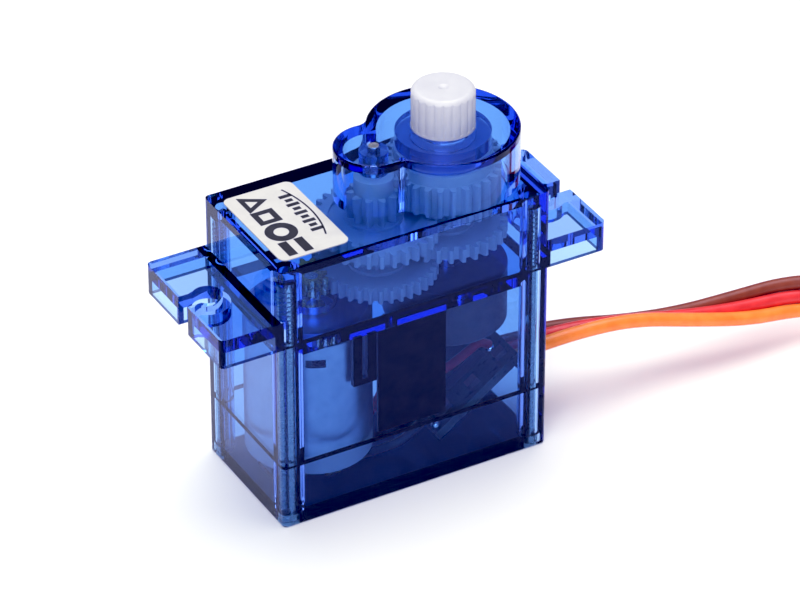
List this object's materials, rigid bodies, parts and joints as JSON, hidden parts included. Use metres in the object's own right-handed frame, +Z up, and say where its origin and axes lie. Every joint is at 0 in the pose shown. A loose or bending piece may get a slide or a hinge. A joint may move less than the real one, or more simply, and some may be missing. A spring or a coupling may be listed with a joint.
{
  "type": "hobby servo motor",
  "caption": "Micro hobby servo with a clear case, gear train to a splined output shaft, two slotted mounting flanges and a flat lead ending in a plug.",
  "frame": {"origin": "centre of the case's underside", "axes": "+X along the case towards the output shaft and the cable, +Y across the case, +Z up along the output shaft"},
  "size_m": [0.1132, 0.0137, 0.0302],
  "materials": {
    "clear_blue": "clear tinted polycarbonate, glossy",
    "white_nylon": "moulded white nylon, satin",
    "steel": "drawn steel, satin",
    "zinc_screw": "bright zinc plated steel",
    "can_steel": "nickel plated drawn steel, brushed",
    "brass": "turned brass",
    "copper": "enamelled copper winding",
    "magnet": "sintered ferrite, dull",
    "black_plastic": "moulded black plastic, satin",
    "grey_phenolic": "dark moulded resin, matte",
    "carbon_track": "printed carbon film",
    "board_green": "solder-masked fibreglass board",
    "solder": "bright tin solder",
    "label_paper": "printed paper label, satin",
    "brown_pvc": "brown PVC insulation, satin",
    "red_pvc": "red PVC insulation, satin",
    "orange_pvc": "orange PVC insulation, satin",
    "white_pvc": "white PVC insulation, satin"
  },
  "bodies": {
    "case": {"top_case": "clear_blue", "middle_case": "clear_blue", "bottom_cover": "clear_blue", "case_screws": "zinc_screw", "wire_clip": "black_plastic", "insulating_sheet": "grey_phenolic", "label": "label_paper", "idler_pin": "steel", "motor_can": "can_steel", "motor_end_cap": "white_nylon", "motor_front_bushing": "brass", "motor_rear_bushing": "brass", "motor_terminals": "brass", "motor_brushes": "copper", "motor_magnets": "magnet", "potentiometer_body": "grey_phenolic", "potentiometer_cover": "grey_phenolic", "potentiometer_track": "carbon_track", "potentiometer_terminals": "solder", "control_board": "board_green", "control_chip": "black_plastic", "board_components": "grey_phenolic", "solder_joints": "solder", "motor_lead_red": "red_pvc", "motor_lead_black": "black_plastic", "potentiometer_lead_red": "red_pvc", "potentiometer_lead_white": "white_pvc", "potentiometer_lead_black": "black_plastic", "ground_wire": "brown_pvc", "power_wire": "red_pvc", "signal_wire": "orange_pvc", "cable_hank": "brown_pvc", "cable_tie": "black_plastic", "plug_housing": "black_plastic", "plug_contacts": "brass"},
    "rotor": {"motor_shaft": "steel", "motor_pinion": "brass", "armature_core": "steel", "armature_windings": "copper", "commutator": "copper"},
    "first_gear": {"first_gear": "white_nylon"},
    "second_gear": {"second_gear": "white_nylon"},
    "third_gear": {"third_gear": "white_nylon"},
    "output": {"output_gear": "white_nylon", "potentiometer_shaft": "steel", "potentiometer_wiper": "brass"}
  },
  "joints": [
    {"name": "motor_spin", "type": "hinge", "parent": "case", "child": "rotor", "pos_m": [-0.0058, 0, 0.018], "axis": [0, 0, 1], "range_deg": [-11454.5, 11454.5]},
    {"name": "first_gear_spin", "type": "hinge", "parent": "case", "child": "first_gear", "pos_m": [-0.0003, 0, 0.018], "axis": [0, 0, 1], "range_deg": [-2545.5, 2545.5]},
    {"name": "second_gear_spin", "type": "hinge", "parent": "case", "child": "second_gear", "pos_m": [0.00555, 0, 0.018], "axis": [0, 0, 1], "range_deg": [-763.7, 763.7]},
    {"name": "third_gear_spin", "type": "hinge", "parent": "case", "child": "third_gear", "pos_m": [-0.0003, 0, 0.018], "axis": [0, 0, 1], "range_deg": [-229.1, 229.1]},
    {"name": "output_turn", "type": "hinge", "parent": "case", "child": "output", "pos_m": [0.00555, 0, 0.018], "axis": [0, 0, 1], "range_deg": [-90, 90]}
  ],
  "couplings": [
    {"joint": "first_gear_spin", "follows": "motor_spin", "ratio": -0.22222},
    {"joint": "second_gear_spin", "follows": "motor_spin", "ratio": 0.066667},
    {"joint": "third_gear_spin", "follows": "motor_spin", "ratio": -0.02},
    {"joint": "output_turn", "follows": "motor_spin", "ratio": 0.0078571}
  ]
}
